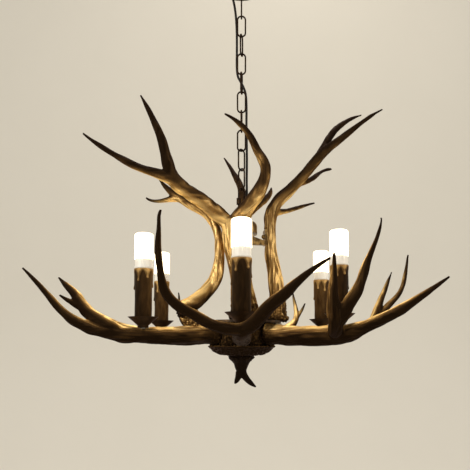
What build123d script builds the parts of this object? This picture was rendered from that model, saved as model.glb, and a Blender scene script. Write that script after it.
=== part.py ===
from build123d import *
import math
import os

# Antler chandelier with six candle lamps, hung on a chain.  Millimetres, +Z up.
# The origin is on the ceiling, in the middle of the mounting crossbar's upper face.
# The light itself is drawn in heights over the undersides of its lower antlers (height 0)
# and is moved down by hang_drop, which follows from the canopy, the links and the loops.

# ---- clearances ----
link_gap = 0.2            # between the wires of two links that hang on each other
thread_gap = 0.1          # radial, between a bolt, screw or tube and its hole
lamp_gap = 0.3            # between a bulb's collar and the candle sleeve under it

# ---- ceiling plate, canopy and upper loop ----
crossbar_length = 100
crossbar_width = 20
crossbar_thickness = 3
crossbar_slot_spacing = 66
crossbar_slot_length = 8
crossbar_slot_width = 4.4
canopy_radius = 60
canopy_depth = 28
canopy_wall = 1.2
canopy_shoulder = 12
canopy_screw_spacing = 86
canopy_screw_radius = 2
cap_nut_radius = 4.5
cap_nut_height = 7
cap_nut_round = 3.6
loop_inner_radius = 9
loop_wire_radius = 2
loop_stem_radius = 5
loop_collar_radius = 8
loop_collar_height = 4
loop_neck = 6.3
loop_nut_across_flats = 16
loop_nut_height = 5
terminal_length = 30
terminal_width = 14
terminal_height = 14
terminal_bore_radius = 1.8
terminal_aside = 5        # from the cord's entry to the middle of the block, along the crossbar
terminal_across = 3.5     # and across it, clear of the slots' screws

# ---- chain ----
link_count = 10
link_inner_length = 37.2
link_inner_width = 12
link_wire_radius = 1.5
link_turns = (90, 0, 75, 0, 80, 0, 85, -8, 42, -45)   # each link's plane, degrees about Z
quick_link_turn = 45
quick_nut_across_flats = 7
quick_nut_length = 12

# ---- supply cord, points chosen by hand: x, y and height over the lower antlers ----
cord_radius = 2.2
cord_hole_gap = 0.6
grommet_lip = 2
cord_ceiling_x = -19
cord_ceiling_y = 9
cord_column_x = 11
cord_column_y = 9.5
cord_drop = 27            # straight run below the terminal block
cord_rise = 22            # straight run above the column's cap
cord_middle = (
    (-12, 6.5, 645),
    (-9, 5, 605),
    (-8.6, 5.6, 565),
    (-9.2, 5.4, 530),
    (-7.6, 4.4, 509),
    (-2.4, 1.4, 498),
    (3.0, 1.2, 488),
    (8.4, 4.4, 475),
    (9.6, 5.8, 450),
    (9.2, 5.4, 415),
    (9.8, 6.0, 380),
    (10.2, 5.8, 345),
    (9.6, 6.6, 310),
    (10.2, 8.6, 280),
)

# ---- hub ----
drum_apothem = 50
drum_wall = 4
drum_height = 41
plate_radius = 72
plate_thickness = 4
bowl_radius = 62
bowl_depth = 14
bowl_belly_radius = 49.6
bowl_belly_depth = 8.6
bowl_foot_radius = 22
root_height = 21          # middle of each lower antler's root over the drum's underside
hub_bolt_radius = 4
hub_bolt_length = 34
hub_bolt_across_flats = 13
hub_bolt_head = 5

# ---- column ----
tube_radius = 8
tube_wall = 2.5
tube_below_bowl = 16
lock_nut_across_flats = 24
lock_nut_height = 8
crown_height = 141        # underside of the crown bracket over the hub plate
crown_sleeve_radius = 13
crown_sleeve_height = 19
crown_flange_radius = 19
crown_flange_thickness = 3
crown_arm_width = 7
crown_arm_root = 19      # height of each arm at the column
crown_arm_height = 8.5    # and at its pad
crown_pad_width = 20
crown_pad_height = 28
crown_pad_thickness = 4
crown_screw_height = 16
crown_screw_radius = 2.2
crown_screw_length = 16
crown_screw_head_radius = 4.5
crown_arms = {            # each arm's angle, and its pad's outer face from the column's axis
    "upper_antler_left": (-112, 43),
    "upper_antler_right": (8.5, 46),
    "upper_antler_back": (85, 37),
}
cap_radius = 29
cap_wall = 1.5
cap_height = 24
cap_shoulder = 11
column_loop_neck = 2
column_loop_grip = 12     # length of the loop's stem inside the tube

# ---- candles ----
seat_out = 136            # candle axis from the antler's root face
seat_height = 32
foot_radius = 9
foot_height = 4
dish_radius = 25
dish_height = 18
dish_floor = 11.5
dish_lip = 2.4
nipple_radius = 5
nipple_wall = 1.5
nipple_depth = 17
nipple_end_gap = 1
nipple_rise = 26
holder_radius = 11.3
holder_lift = 14
holder_drop = 2.5         # top of the lampholder below the sleeve's rim
socket_end_gap = 4.8      # under the lamp's screw
sleeve_radius = 14
sleeve_wall = 1.6
sleeve_height = 85
drip_radius = 1.9
drip_sink = 0.8           # how far a drip's middle lies inside the sleeve's face
drip_turn = 20
drip_lengths = (14, 38, 24, 46, 19)
lamp_screw_radius = 6.9
lamp_screw_length = 24
collar_radius = 14.3
collar_rim_radius = 15
collar_rim_height = 3.5
collar_height = 16
cover_radius = 15.4
cover_height = 43
cover_round = 4

# ---- finial, a small forked antler end: x, y, height under the bowl's foot, radius ----
finial_bore_depth = 18
finial = (
    ((0, 0, 0, 20.5), (0, 0, -10, 19), (0, 0, -19, 13.5), (0, 0, -28, 10.5), (0, 0, -36, 6.5)),
    ((-1, 0, -26, 8), (-5.5, 0, -41, 6), (-9, 0, -49, 4.5), (-13, 0, -55, 1.6)),
    ((1, 0, -26, 8), (8, 0, -43, 6.2), (17, 0, -53, 4.5), (26, 0, -60, 1.6)),
)

# ---- lower antlers, in each one's own frame: out from its root, aside, up, radius ----
root_overrun = 8          # stock past the root's face, cut off flat
root_cut = 140            # side of the block that cuts it
spotface_radius = 11
lower_antlers = {
    "lower_antler_front": (-90, 0, (
        ((0, 0, 21, 17.5), (22, 0, 21, 16), (55, 0, 16, 15), (95, 0, 16, 14.5), (136, 0, 20, 14),
         (162, 0, 22, 12), (176, 0, 23, 9.5)),
        ((166, 6, 23, 9.5), (174, -11, 24, 9.3), (180, -39, 30, 7.8), (186, -66, 44, 7.6),
         (191, -89, 58, 7.4), (194, -101, 72, 7), (199, -108, 100, 5.4), (203, -111, 140, 4.4),
         (207, -107, 182, 1.6)),
        ((166, -6, 23, 9.5), (174, 12, 29, 10.5), (180, 35, 52, 9.8), (186, 62, 75, 8.2),
         (190, 78, 90, 6), (194, 97, 105, 3.8), (198, 119, 119, 1.6)),
    )),
    "lower_antler_front_right": (-30, 3.5, (
        ((0, 0, 21, 17.5), (26, 1, 19.5, 17.7), (52, -1, 17.5, 17), (97, -2, 17, 16.8),
         (136, 0, 19, 16.5), (159, 6, 25, 13), (180, 14, 34, 10.5), (200, 22, 44, 10),
         (227, 33, 59, 9), (264, 49, 86, 5.5), (283, 56, 100, 3.5), (297, 62, 111, 1.6)),
        ((131, -13, 24, 11), (139, -30, 29, 12), (144, -43, 46, 12.5), (142, -47, 66, 10.8),
         (141, -48, 82, 8.6), (142, -48, 98, 6.8), (144, -49, 120, 4.8), (145, -49, 146, 1.6)),
        ((143, -35, 34, 9.5), (152, -38, 48, 10.5), (163, -35, 68, 10.5), (174, -30, 86, 8.8),
         (183, -26, 111, 7.6), (193, -22, 141, 5.3), (200, -20, 158, 3.9), (210, -16, 200, 1.6)),
    )),
    "lower_antler_back_right": (30, 3, (
        ((0, 0, 21, 17.5), (26, 0, 21, 17), (77, 0, 18, 16.5), (136, 0, 21, 16),
         (190, -5, 27, 13.5), (238, -16, 40, 11), (269, -28, 64, 8.5), (287, -35, 84, 7),
         (313, -43, 112, 5.5), (327, -47, 153, 4), (334, -49, 194, 1.6)),
        ((256, -22, 54, 9), (265, -27, 78, 8), (273, -30, 100, 6.5), (282, -33, 122, 5),
         (295, -38, 155, 1.6)),
    )),
    "lower_antler_back": (90, 0, (
        ((0, 0, 21, 17.5), (25, 0, 20, 17), (60, 0, 18, 16.5), (100, 0, 18, 16.5), (136, 0, 20, 16),
         (154, 0, 22, 13.5)),
        ((147, -6, 22, 11), (153, 20, 22, 11), (161, 55, 25, 10.5), (174, 100, 36, 9.5),
         (181, 133, 54, 7), (186, 142, 85, 4.5), (190, 146, 122, 1.6)),
        ((147, 6, 22, 11), (153, -20, 22, 11), (160, -55, 25, 10.5), (172, -98, 36, 9.5),
         (181, -124, 58, 7), (188, -124, 90, 4.5), (195, -120, 125, 1.6)),
        ((179, -118, 52, 5.5), (185, -136, 76, 3.8), (190, -147, 97, 1.6)),
    )),
    "lower_antler_back_left": (150, 0, (
        ((0, 0, 21, 17.5), (26, 0, 21, 17.5), (77, 0, 18, 17.7), (136, 0, 20, 17.5),
         (193, 4, 24, 14.5), (243, 12, 40, 11), (285, 20, 60, 8), (309, 27, 78, 5), (327, 33, 98, 1.6)),
        ((185, 4, 23, 9), (229, -12, 24, 7.5), (257, -28, 30, 5), (277, -42, 42, 1.6)),
    )),
    "lower_antler_front_left": (-150, -2, (
        ((0, 0, 21, 17.5), (25, 0, 22, 16.5), (66, 5, 19, 15.5), (103, 4, 17, 14.5),
         (136, 0, 18, 13.5), (165, -8, 19, 13), (188, -15, 23, 11.5), (210, -23, 28, 10.2),
         (237, -33, 40, 9), (257, -41, 57, 7.3), (276, -50, 81, 5.3), (294, -57, 103, 3.8),
         (313, -65, 124, 1.6)),
        ((171, -10, 24, 10.5), (197, -21, 39, 11.2), (219, -40, 59, 10.3), (230, -55, 81, 8.3),
         (244, -71, 100, 5.6), (255, -84, 115, 1.6)),
        ((216, -39, 58, 7.5), (237, -53, 70, 5.2), (256, -67, 84, 1.6)),
    )),
}

# ---- upper antlers on the hub plate: x, y, height over the plate, radius ----
plate_antlers = {
    "upper_antler_left": (
        ((-2, -33, 0, 17), (-4, -38, 35, 15), (-5, -44, 75, 14), (-13, -48, 107, 13.5),
         (-20, -50, 155, 14), (-22, -51, 177, 14)),
        ((-21, -50, 167, 13), (-51, -63, 190, 13), (-78, -80, 208, 12.5), (-110, -98, 228, 12),
         (-120, -102, 250, 11), (-126, -101, 272, 9), (-132, -101, 296, 8), (-143, -100, 323, 6.2),
         (-155, -100, 348, 4.5), (-169, -100, 374, 1.6)),
        ((-108, -97, 225, 10), (-135, -107, 237, 8.5), (-159, -109, 244, 6.8),
         (-197, -112, 261, 5.8), (-230, -114, 281, 4.3), (-249, -115, 294, 2.6),
         (-259, -115, 302, 1.6)),
        ((-20, -50, 167, 12), (10, -55, 196, 13), (31, -60, 224, 12), (40, -63, 244, 10),
         (42, -65, 257, 9), (35, -68, 278, 8), (27, -70, 291, 7.2), (14, -75, 316, 5.8),
         (-1, -78, 333, 4.5), (-16, -80, 344, 2.8), (-29, -81, 351, 1.6)),
    ),
    "upper_antler_right": (
        ((66, 4, 0, 17), (66.5, 5, 30, 15.5), (64, 6, 62, 14), (61, 8, 90, 13), (54, 8, 130, 11.3),
         (53, 8, 166, 11.5), (57, 10, 205, 12.5), (72, 10, 229, 11.5), (87, 10, 243, 10.5),
         (109, 8, 265, 10), (131, 5, 290, 9.8), (149, 2, 311, 9.3), (173, 0, 331, 7.5),
         (201, -1, 353, 6), (232, -1, 377, 4), (264, -1, 397, 1.6)),
        ((140, 4, 300, 9), (158, 12, 333, 8), (178, 25, 366, 6.5), (206, 40, 393, 4.5),
         (239, 59, 414, 1.6)),
        ((104, 9, 258, 8), (119, 15, 263, 6), (148, 45, 288, 4.5), (182, 79, 311, 1.6)),
        ((60, 12, 205, 8), (84, 35, 213, 5), (116, 68, 230, 4), (150, 99, 247, 1.6)),
    ),
    "upper_antler_back": (
        ((20, 33, 0, 16), (17, 36, 30, 14), (10, 40, 65, 12.5), (6, 43, 105, 11.3),
         (4, 45, 155, 11), (5, 48, 190, 10.5), (4, 55, 215, 9.5), (3, 66, 252, 8),
         (-12, 95, 300, 6.3), (-24, 120, 330, 4), (-38, 149, 360, 1.6)),
        ((4, 43, 190, 6.5), (13, 60, 212, 8), (30, 79, 234, 8), (50, 98, 256, 7),
         (59, 106, 270, 5), (62, 110, 283, 1.6)),
    ),
}

# ---- the branch antler on the front left one: x, y, up from its standoff, radius ----
branch_out = 50           # standoff axis from the root face of the antler that carries it
branch_seat = 33          # spotface that the standoff stands on
standoff_radius = 8
standoff_height = 30
stud_radius = 3
stud_length = 12
branch_antler = (
    ((-21, -8, 0, 13.5), (0, -2, 9, 13), (22, 4, 27, 12.5), (41, 8, 55, 11), (48, 13, 102, 8.5),
     (45, 20, 136, 8), (29, 24, 168, 8.5), (1, 28, 189, 9), (-25, 33, 204, 8.3)),
    ((-20, 32, 202, 8), (-36, 35, 205, 6.5), (-58, 36.5, 201.5, 4), (-88, 38, 207.5, 1.6)),
    ((-18, 32, 202, 8), (-38, 34, 214, 7), (-52, 36, 227, 4.5), (-64, 38, 242, 1.6)),
)

# ---- what follows from these ----
plate_top = drum_height + plate_thickness
crown_base = plate_top + crown_height
cap_base = crown_base + crown_sleeve_height
cap_top = cap_base + cap_height
loop_outer_radius = loop_inner_radius + 2 * loop_wire_radius
column_loop_height = cap_top + column_loop_neck + loop_outer_radius
canopy_loop_z = -canopy_depth - loop_collar_height - loop_neck - loop_outer_radius
link_pitch = link_inner_length - link_gap
first_link_z = canopy_loop_z - loop_inner_radius + link_gap - link_inner_length / 2
quick_link_z = first_link_z - link_count * link_pitch
column_loop_z = quick_link_z - link_inner_length / 2 + link_gap - loop_inner_radius
hang_drop = column_loop_height - column_loop_z

LOW = (Align.CENTER, Align.CENTER, Align.MIN)
HIGH = (Align.CENTER, Align.CENTER, Align.MAX)
OUTWARD = (Align.MIN, Align.CENTER, Align.CENTER)


def horn(stations, steps=2):
    """A tapering round horn through stations of x, y, z and radius, on steady frames."""
    points = [Vector(*station[:3]) for station in stations]
    radii = [station[3] for station in stations]
    spine = Edge.make_spline(points)
    marks = [spine.param_at_point(point) for point in points]
    sections = []
    x_dir = None
    for i in range((len(points) - 1) * steps + 1):
        span, part = divmod(i, steps)
        after = min(span + 1, len(points) - 1)
        share = part / steps
        mark = marks[span] + (marks[after] - marks[span]) * share
        radius = radii[span] + (radii[after] - radii[span]) * share
        tangent = spine.tangent_at(mark)
        if x_dir is None:
            x_dir = Vector(0, 0, 1) if abs(tangent.Z) < 0.9 else Vector(1, 0, 0)
        x_dir = (x_dir - tangent * x_dir.dot(tangent)).normalized()
        frame = Plane(origin=spine.position_at(mark), x_dir=x_dir, z_dir=tangent)
        sections.append(frame * Circle(radius))
    return loft(sections)


def fork(branches):
    """A beam with its tines, grown into one piece."""
    body = horn(branches[0])
    for branch in branches[1:]:
        body += horn(branch)
    return body


def hex_bar(across_flats, length):
    return extrude(RegularPolygon(across_flats / 2, 6, major_radius=False), length)


def pipe(outer, inner, length):
    return Cylinder(outer, length, align=LOW) - Cylinder(inner, length, align=LOW)


def turned(points):
    """A solid of revolution about Z from a closed outline of radius and height."""
    outline = Plane.XZ * make_face(Polyline(*points, close=True))
    return revolve(outline, Axis.Z)


def link(inner_length, inner_width, wire_radius):
    """A chain link in the XZ plane, about its middle."""
    bend = inner_width / 2 + wire_radius
    leg = inner_length - inner_width
    arch = revolve(Pos(bend, 0, 0) * Circle(wire_radius), Axis.Y, -180)
    upper = Pos(0, 0, leg / 2) * arch
    body = upper + Rot(180, 0, 0) * upper
    for side in (-bend, bend):
        body += Pos(side, 0, 0) * Cylinder(wire_radius, leg)
    return body


def loop(stem_length):
    """A ring in the XZ plane on a stem that points up."""
    ring = Rot(90, 0, 0) * Torus(loop_inner_radius + loop_wire_radius, loop_wire_radius)
    stem_base = loop_inner_radius + loop_wire_radius
    return ring + Pos(0, 0, stem_base) * Cylinder(loop_stem_radius, stem_length, align=LOW)


def in_place(shape):
    """From heights over the lower antlers to the ceiling's frame."""
    return Pos(0, 0, -hang_drop) * shape


def ceiling_pieces():
    made = {}
    half_screws = canopy_screw_spacing / 2
    bar = Box(crossbar_length, crossbar_width, crossbar_thickness, align=HIGH)
    for side in (-1, 1):
        slot = extrude(SlotOverall(crossbar_slot_length, crossbar_slot_width), -crossbar_thickness)
        bar -= Pos(side * crossbar_slot_spacing / 2, 0, 0) * slot
        hole = Cylinder(canopy_screw_radius + thread_gap, crossbar_thickness, align=HIGH)
        bar -= Pos(side * half_screws, 0, 0) * hole
    bar -= Cylinder(loop_stem_radius + thread_gap, crossbar_thickness, align=HIGH)
    made["ceiling_crossbar"] = bar

    outer = Cylinder(canopy_radius, canopy_depth, align=HIGH)
    outer = fillet(outer.edges().sort_by(Axis.Z)[0], canopy_shoulder)
    inner = Cylinder(canopy_radius - canopy_wall, canopy_depth - canopy_wall, align=HIGH)
    inner = fillet(inner.edges().sort_by(Axis.Z)[0], canopy_shoulder - canopy_wall)
    cup = outer - inner
    floor = Pos(0, 0, -canopy_depth)
    cup -= floor * Cylinder(loop_stem_radius + thread_gap, canopy_wall, align=LOW)
    cord_hole = Pos(cord_ceiling_x, cord_ceiling_y, -canopy_depth)
    grommet_waist = cord_radius + cord_hole_gap + grommet_lip
    cup -= cord_hole * Cylinder(grommet_waist, canopy_wall, align=LOW)
    for side in (-1, 1):
        hole = Cylinder(canopy_screw_radius + thread_gap, canopy_wall, align=LOW)
        cup -= Pos(side * half_screws, 0, -canopy_depth) * hole
    made["canopy"] = cup

    fasteners = []
    for side in (-1, 1):
        screw = Pos(side * half_screws, 0, 0) * Cylinder(
            canopy_screw_radius, canopy_depth + cap_nut_height / 2, align=HIGH)
        nut = Cylinder(cap_nut_radius, cap_nut_height, align=HIGH)
        nut = fillet(nut.edges().sort_by(Axis.Z)[0], min(cap_nut_round, 0.9 * cap_nut_radius))
        nut -= Cylinder(canopy_screw_radius, cap_nut_height / 2, align=HIGH)
        fasteners += [screw, Pos(side * half_screws, 0, -canopy_depth) * nut]
    made["canopy_fasteners"] = Compound(children=fasteners)

    stem_length = -canopy_loop_z - loop_inner_radius - loop_wire_radius
    eye = Pos(0, 0, canopy_loop_z) * loop(stem_length)
    eye += floor * Cylinder(loop_collar_radius, loop_collar_height, align=HIGH)
    made["canopy_loop"] = eye
    nut = hex_bar(loop_nut_across_flats, loop_nut_height)
    nut -= Cylinder(loop_stem_radius, loop_nut_height, align=LOW)
    made["canopy_loop_nut"] = Pos(0, 0, canopy_wall - canopy_depth) * nut

    block = Box(terminal_length, terminal_width, terminal_height, align=HIGH)
    for share in (-1, 0, 1):
        bore = Rot(90, 0, 0) * Cylinder(terminal_bore_radius, terminal_width)
        block -= Pos(share * terminal_length / 3, 0, -terminal_height / 2) * bore
    block_x = cord_ceiling_x - terminal_aside
    block_y = cord_ceiling_y + terminal_across
    made["terminal_block"] = Pos(block_x, block_y, -crossbar_thickness) * block

    hole_radius = cord_radius + cord_hole_gap
    grommet = Cylinder(grommet_waist, canopy_wall, align=LOW)
    for lip in (canopy_wall, -grommet_lip):
        grommet += Pos(0, 0, lip) * Cylinder(grommet_waist + 1, grommet_lip, align=LOW)
    grommet -= Pos(0, 0, -grommet_lip) * Cylinder(hole_radius, 3 * grommet_lip, align=LOW)
    made["cord_grommet"] = cord_hole * grommet
    return made


def chain_pieces():
    one = link(link_inner_length, link_inner_width, link_wire_radius)
    places = [first_link_z - i * link_pitch for i in range(link_count)]
    hung = [Pos(0, 0, z) * Rot(0, 0, turn) * one for z, turn in zip(places, link_turns)]
    made = {"top_link": hung[0], "chain_links": Compound(children=hung[1:])}
    made["quick_link"] = Pos(0, 0, quick_link_z) * Rot(0, 0, quick_link_turn) * one
    nut = hex_bar(quick_nut_across_flats, quick_nut_length)
    nut -= Cylinder(link_wire_radius, quick_nut_length, align=LOW)
    leg = Rot(0, 0, quick_link_turn) * Pos(-link_inner_width / 2 - link_wire_radius, 0, 0)
    made["quick_link_nut"] = Pos(0, 0, quick_link_z - quick_nut_length) * leg * nut
    return made


def cord():
    """Straight runs joined by arcs as large as the shorter run beside each corner allows."""
    block_under = -crossbar_thickness - terminal_height
    points = [Vector(cord_ceiling_x, cord_ceiling_y, block_under)]
    points.append(Vector(cord_ceiling_x, cord_ceiling_y, block_under - cord_drop))
    points += [Vector(x, y, height - hang_drop) for x, y, height in cord_middle]
    points.append(Vector(cord_column_x, cord_column_y, cap_top + cord_rise - hang_drop))
    points.append(Vector(cord_column_x, cord_column_y, cap_base - hang_drop))
    radii = []
    for before, corner, after in zip(points, points[1:], points[2:]):
        turn = (corner - before).get_angle(after - corner)
        run = min((corner - before).length, (after - corner).length)
        radii.append(0.45 * run / math.tan(math.radians(turn / 2)))
    print("cord bend radii", [round(radius) for radius in radii])
    path = FilletPolyline(*points, radius=radii)
    start = Plane(origin=points[0], z_dir=path % 0)
    tube = sweep(start * Circle(cord_radius), path)
    section = math.pi * cord_radius ** 2
    print("cord length", round(path.length), "volume over section", round(tube.volume / section))
    return tube


def hub_pieces():
    made = {}
    drum = hex_bar(2 * drum_apothem, drum_height)
    drum -= hex_bar(2 * (drum_apothem - drum_wall), drum_height)
    wall_hole = Cylinder(hub_bolt_radius + thread_gap, drum_wall, align=HIGH)
    for angle, _, _ in lower_antlers.values():
        drum -= Rot(0, 0, angle) * Pos(drum_apothem, 0, root_height) * Rot(0, 90, 0) * wall_hole
    made["hub_drum"] = drum

    disc = pipe(plate_radius, tube_radius + thread_gap, plate_thickness)
    plate = Pos(0, 0, drum_height) * disc
    for branches in plate_antlers.values():
        x, y = branches[0][0][:2]
        bolt_hole = Cylinder(hub_bolt_radius + thread_gap, plate_thickness, align=LOW)
        plate -= Pos(x, y, drum_height) * bolt_hole
    made["hub_top_plate"] = plate

    rim = (bowl_radius, 0)
    belly = (bowl_belly_radius, -bowl_belly_depth)
    foot = (bowl_foot_radius, -bowl_depth)
    bore = tube_radius + thread_gap
    side = ThreePointArc(rim, belly, foot)
    rest = Polyline(foot, (bore, -bowl_depth), (bore, 0), rim)
    made["hub_bowl"] = revolve(Plane.XZ * make_face([side, rest]), Axis.Z)

    bolt = hex_bar(hub_bolt_across_flats, hub_bolt_head)
    bolt += Pos(0, 0, hub_bolt_head) * Cylinder(hub_bolt_radius, hub_bolt_length, align=LOW)
    bolts = []
    head_face = drum_apothem - drum_wall - hub_bolt_head
    for angle, _, _ in lower_antlers.values():
        bolts.append(Rot(0, 0, angle) * Pos(head_face, 0, root_height) * Rot(0, 90, 0) * bolt)
    for branches in plate_antlers.values():
        x, y = branches[0][0][:2]
        bolts.append(Pos(x, y, drum_height - hub_bolt_head) * bolt)
    made["hub_bolts"] = Compound(children=bolts)
    return made


def column_pieces():
    made = {}
    tube_base = -bowl_depth - tube_below_bowl
    tube_top = cap_base - crown_flange_thickness / 2
    tube = pipe(tube_radius, tube_radius - tube_wall, tube_top - tube_base)
    made["column_tube"] = Pos(0, 0, tube_base) * tube
    nut = hex_bar(lock_nut_across_flats, lock_nut_height)
    nut -= Cylinder(tube_radius, lock_nut_height, align=LOW)
    made["column_lock_nut"] = Pos(0, 0, plate_top) * nut

    stem_length = cap_top - tube_top + loop_wire_radius + column_loop_neck + column_loop_grip
    eye = Rot(180, 0, 0) * loop(stem_length)
    eye = Rot(0, 0, -quick_link_turn) * eye
    made["column_loop"] = Pos(0, 0, column_loop_height) * eye

    bracket = pipe(crown_sleeve_radius, tube_radius + thread_gap, crown_sleeve_height)
    flange = pipe(crown_flange_radius, tube_radius + thread_gap, crown_flange_thickness)
    bracket += Pos(0, 0, crown_sleeve_height - crown_flange_thickness) * flange
    screws = []
    for angle, reach in crown_arms.values():
        arm_start = (tube_radius + crown_sleeve_radius) / 2
        arm_length = reach - crown_pad_thickness - arm_start
        web = Plane.XZ * make_face(Polyline(
            (0, 0), (arm_length, 0), (arm_length, crown_arm_height), (0, crown_arm_root),
            close=True))
        arm = Pos(arm_start, 0, 0) * extrude(web, crown_arm_width / 2, both=True)
        pad = Pos(reach - crown_pad_thickness, 0, crown_pad_height / 2) * Box(
            crown_pad_thickness, crown_pad_width, crown_pad_height, align=OUTWARD)
        at_screw = Pos(reach - crown_pad_thickness, 0, crown_screw_height) * Rot(0, 90, 0)
        pad -= at_screw * Cylinder(crown_screw_radius + thread_gap, crown_pad_thickness, align=LOW)
        bracket += Rot(0, 0, angle) * (arm + pad)
        dome = Sphere(crown_screw_head_radius) & Box(
            2 * crown_screw_head_radius, 2 * crown_screw_head_radius, crown_screw_head_radius,
            align=HIGH)
        screw = dome + Cylinder(crown_screw_radius, crown_screw_length, align=LOW)
        screws.append(Rot(0, 0, angle) * at_screw * screw)
    made["crown_bracket"] = Pos(0, 0, crown_base) * bracket
    made["crown_screws"] = Pos(0, 0, crown_base) * Compound(children=screws)

    cap = Cylinder(cap_radius, cap_height, align=LOW)
    cap = fillet(cap.edges().sort_by(Axis.Z)[-1], cap_shoulder)
    hollow = Cylinder(cap_radius - cap_wall, cap_height - cap_wall, align=LOW)
    cap -= fillet(hollow.edges().sort_by(Axis.Z)[-1], cap_shoulder - cap_wall)
    cap -= Cylinder(loop_stem_radius + thread_gap, cap_height, align=LOW)
    cord_hole = Cylinder(cord_radius + cord_hole_gap, cap_height, align=LOW)
    cap -= Pos(cord_column_x, cord_column_y, 0) * cord_hole
    foot = pipe(cap_radius, crown_flange_radius - cap_wall, crown_flange_thickness / 2)
    cap += foot
    made["column_cap"] = Pos(0, 0, cap_base) * cap

    stock = fork(finial) - Cylinder(2 * bowl_radius, bowl_depth, align=LOW)
    stock -= Cylinder(tube_radius + thread_gap, finial_bore_depth, align=HIGH)
    made["finial"] = Pos(0, 0, -bowl_depth) * stock
    return made


def lower_antler_pieces():
    made = {}
    behind = Box(root_cut, root_cut, root_cut, align=(Align.MAX, Align.CENTER, Align.CENTER))
    root_bore = Rot(0, 90, 0) * Cylinder(
        hub_bolt_radius + thread_gap, hub_bolt_length, align=LOW)
    for name, (angle, lift, branches) in lower_antlers.items():
        first = branches[0][0]
        beam = ((-root_overrun, 0, first[2], first[3]),) + branches[0]
        body = fork((beam,) + branches[1:]) - behind
        body -= Pos(0, 0, root_height) * root_bore
        seat = Pos(seat_out, 0, seat_height + lift)
        body -= seat * Cylinder(spotface_radius, seat_height, align=LOW)
        body -= seat * Cylinder(nipple_radius + thread_gap, nipple_depth + nipple_end_gap, align=HIGH)
        if name == "lower_antler_front_left":
            branch = Pos(branch_out, 0, branch_seat)
            body -= branch * Cylinder(spotface_radius, branch_seat, align=LOW)
            body -= branch * Cylinder(stud_radius + thread_gap, stud_length, align=HIGH)
        made[name] = Rot(0, 0, angle) * Pos(drum_apothem, 0, 0) * body
    return made


def upper_antler_pieces():
    made = {}
    for name, branches in plate_antlers.items():
        x, y, _, radius = branches[0][0]
        trunk = ((x, y, -root_overrun, radius),) + branches[0]
        body = fork((trunk,) + branches[1:])
        body -= Cylinder(2 * plate_radius, 4 * radius, align=HIGH)
        body -= Pos(x, y, 0) * Cylinder(hub_bolt_radius + thread_gap, hub_bolt_length, align=LOW)
        angle, reach = crown_arms[name]
        pocket = Box(crown_pad_width, 2 * crown_pad_width, crown_pad_height + crown_pad_thickness,
                     align=(Align.MAX, Align.CENTER, Align.CENTER))
        at_pad = Rot(0, 0, angle) * Pos(reach, 0, crown_height + crown_pad_height / 2)
        at_screw = Rot(0, 0, angle) * Pos(reach, 0, crown_height + crown_screw_height)
        shank = Rot(0, 90, 0) * Cylinder(
            crown_screw_radius + thread_gap, crown_screw_length, align=LOW)
        body = body - at_pad * pocket - at_screw * shank
        made[name] = Pos(0, 0, plate_top) * body

    angle = lower_antlers["lower_antler_front_left"][0]
    seat = Rot(0, 0, angle) * Pos(drum_apothem + branch_out, 0, branch_seat)
    foot = Pos(seat.position.X, seat.position.Y, seat.position.Z)
    standoff = Cylinder(standoff_radius, standoff_height, align=LOW)
    for base, align in ((0, HIGH), (standoff_height, LOW)):
        standoff += Pos(0, 0, base) * Cylinder(stud_radius, stud_length, align=align)
    made["branch_standoff"] = foot * standoff
    body = fork(branch_antler)
    body -= Cylinder(spotface_radius, standoff_height, align=HIGH)
    body -= Cylinder(stud_radius + thread_gap, stud_length, align=LOW)
    made["upper_antler_branch"] = foot * Pos(0, 0, standoff_height) * body
    return made


def candle_dish():
    slope = (dish_radius - foot_radius) / (dish_height - foot_height)
    inner_rim = dish_radius - dish_lip
    inner_floor = inner_rim - slope * (dish_height - dish_floor)
    bore = nipple_radius + thread_gap
    return turned((
        (bore, 0), (foot_radius, 0), (foot_radius, foot_height), (dish_radius, dish_height),
        (inner_rim, dish_height), (inner_floor, dish_floor), (bore, dish_floor),
    ))


def candle_sleeve():
    sleeve = pipe(sleeve_radius, sleeve_radius - sleeve_wall, sleeve_height)
    for i, length in enumerate(drip_lengths):
        drip = Cylinder(drip_radius, length, align=HIGH) + Pos(0, 0, -length) * Sphere(drip_radius)
        turn = Rot(0, 0, 360 * i / len(drip_lengths) + drip_turn)
        sleeve += turn * Pos(sleeve_radius - drip_sink, 0, sleeve_height) * drip
    clear = Cylinder(sleeve_radius - sleeve_wall, sleeve_height, align=LOW)
    return Pos(0, 0, dish_floor) * (sleeve - clear)


def lampholder():
    height = dish_floor + sleeve_height - holder_drop - holder_lift
    socket_depth = lamp_screw_length - lamp_gap - holder_drop + socket_end_gap
    socket = Cylinder(lamp_screw_radius + thread_gap, socket_depth, align=HIGH)
    body = Cylinder(holder_radius, height, align=LOW) - Pos(0, 0, height) * socket
    body -= Cylinder(nipple_radius, nipple_rise - holder_lift, align=LOW)
    return Pos(0, 0, holder_lift) * body


def bulb_base():
    screw = Cylinder(lamp_screw_radius, lamp_screw_length, align=HIGH)
    rim = Cylinder(collar_rim_radius, collar_rim_height, align=LOW)
    collar = Cylinder(collar_radius, collar_height, align=LOW)
    return screw + rim + collar


def bulb_cover():
    cover = Cylinder(cover_radius, cover_height, align=LOW)
    return fillet(cover.edges().sort_by(Axis.Z)[-1], cover_round)


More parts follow.
